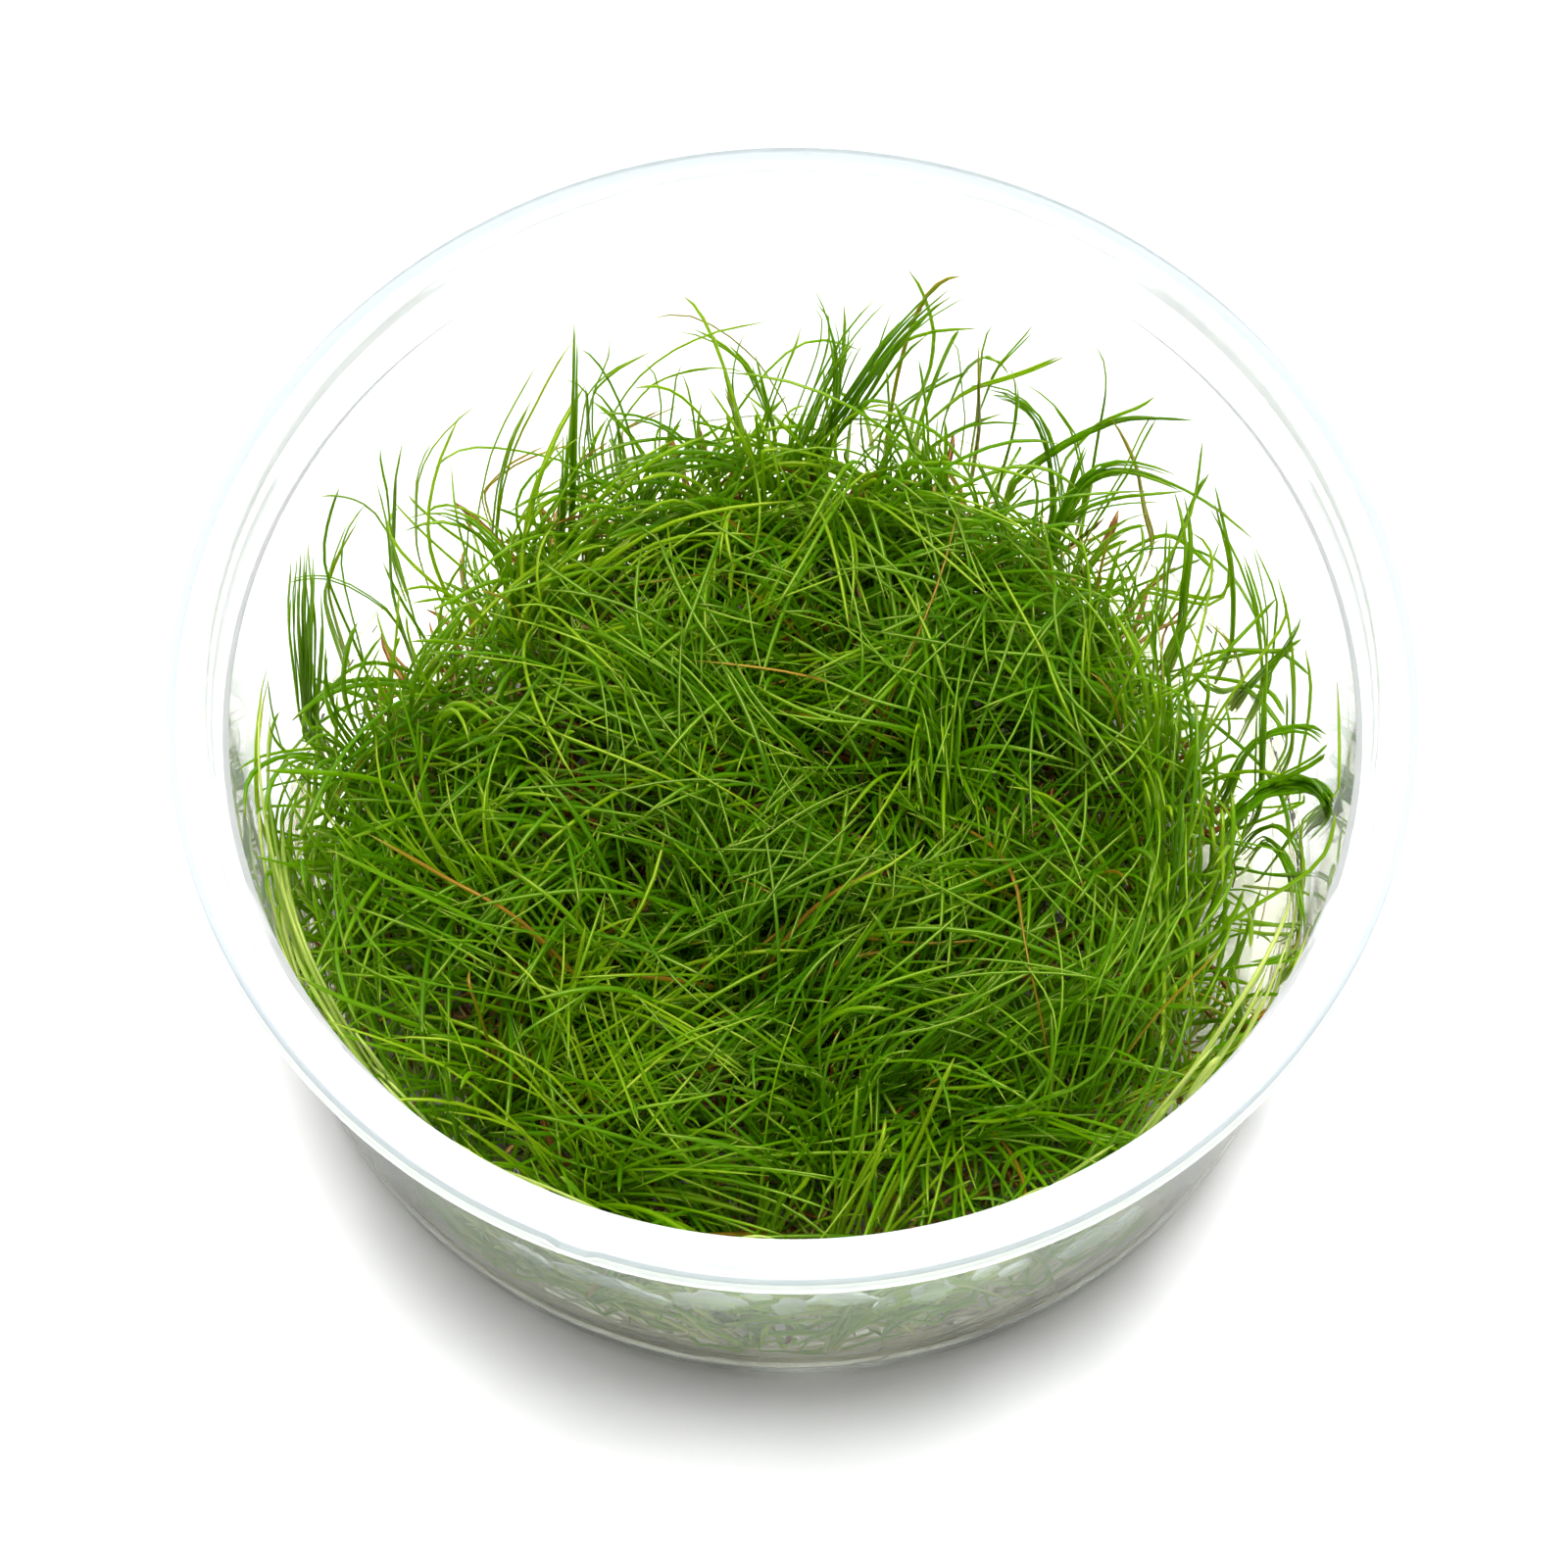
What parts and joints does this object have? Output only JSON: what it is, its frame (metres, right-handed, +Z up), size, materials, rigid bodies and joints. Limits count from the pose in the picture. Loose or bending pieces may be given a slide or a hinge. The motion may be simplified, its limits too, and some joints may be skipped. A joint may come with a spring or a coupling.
{
  "type": "dwarf hairgrass in vitro cup",
  "caption": "Tissue-cultured dwarf hairgrass, a dense tangle of thread-like green leaves on clear gel in a low round clear plastic cup with a lipped flange",
  "frame": {"origin": "middle of the cup's underside, on the surface that it stands on", "axes": "+Z up out of the cup's mouth, -Y towards the picture's viewer, +X to the viewer's right"},
  "size_m": [0.096, 0.096, 0.041],
  "materials": {
    "clear_polypropylene": "clear, slightly milky moulded polypropylene",
    "nutrient_gel": "clear wet set gel",
    "leaf_green_1": "fresh wet leaf, mid green",
    "leaf_green_2": "fresh wet leaf, light green",
    "leaf_green_3": "fresh wet leaf, dark green"
  },
  "bodies": {
    "root": {"cup": "clear_polypropylene", "nutrient_gel": "nutrient_gel", "plantlet_01": "leaf_green_1", "plantlet_02": "leaf_green_2", "plantlet_03": "leaf_green_3", "plantlet_04": "leaf_green_1", "plantlet_05": "leaf_green_2", "plantlet_06": "leaf_green_3", "plantlet_07": "leaf_green_1", "plantlet_08": "leaf_green_2", "plantlet_09": "leaf_green_3", "plantlet_10": "leaf_green_1", "plantlet_11": "leaf_green_2", "plantlet_12": "leaf_green_3", "plantlet_13": "leaf_green_1", "plantlet_14": "leaf_green_2", "plantlet_15": "leaf_green_3", "plantlet_16": "leaf_green_1", "plantlet_17": "leaf_green_2", "plantlet_18": "leaf_green_3", "plantlet_19": "leaf_green_1", "plantlet_20": "leaf_green_2", "plantlet_21": "leaf_green_3", "plantlet_22": "leaf_green_1", "plantlet_23": "leaf_green_2", "plantlet_24": "leaf_green_3", "plantlet_25": "leaf_green_1", "plantlet_26": "leaf_green_2", "plantlet_27": "leaf_green_3", "plantlet_28": "leaf_green_1", "plantlet_29": "leaf_green_2", "plantlet_30": "leaf_green_3", "plantlet_31": "leaf_green_1", "plantlet_32": "leaf_green_2", "plantlet_33": "leaf_green_3", "plantlet_34": "leaf_green_1", "plantlet_35": "leaf_green_2", "plantlet_36": "leaf_green_3", "plantlet_37": "leaf_green_1", "plantlet_38": "leaf_green_2", "plantlet_39": "leaf_green_3", "plantlet_40": "leaf_green_1", "plantlet_41": "leaf_green_2", "plantlet_42": "leaf_green_3"}
  },
  "joints": []
}
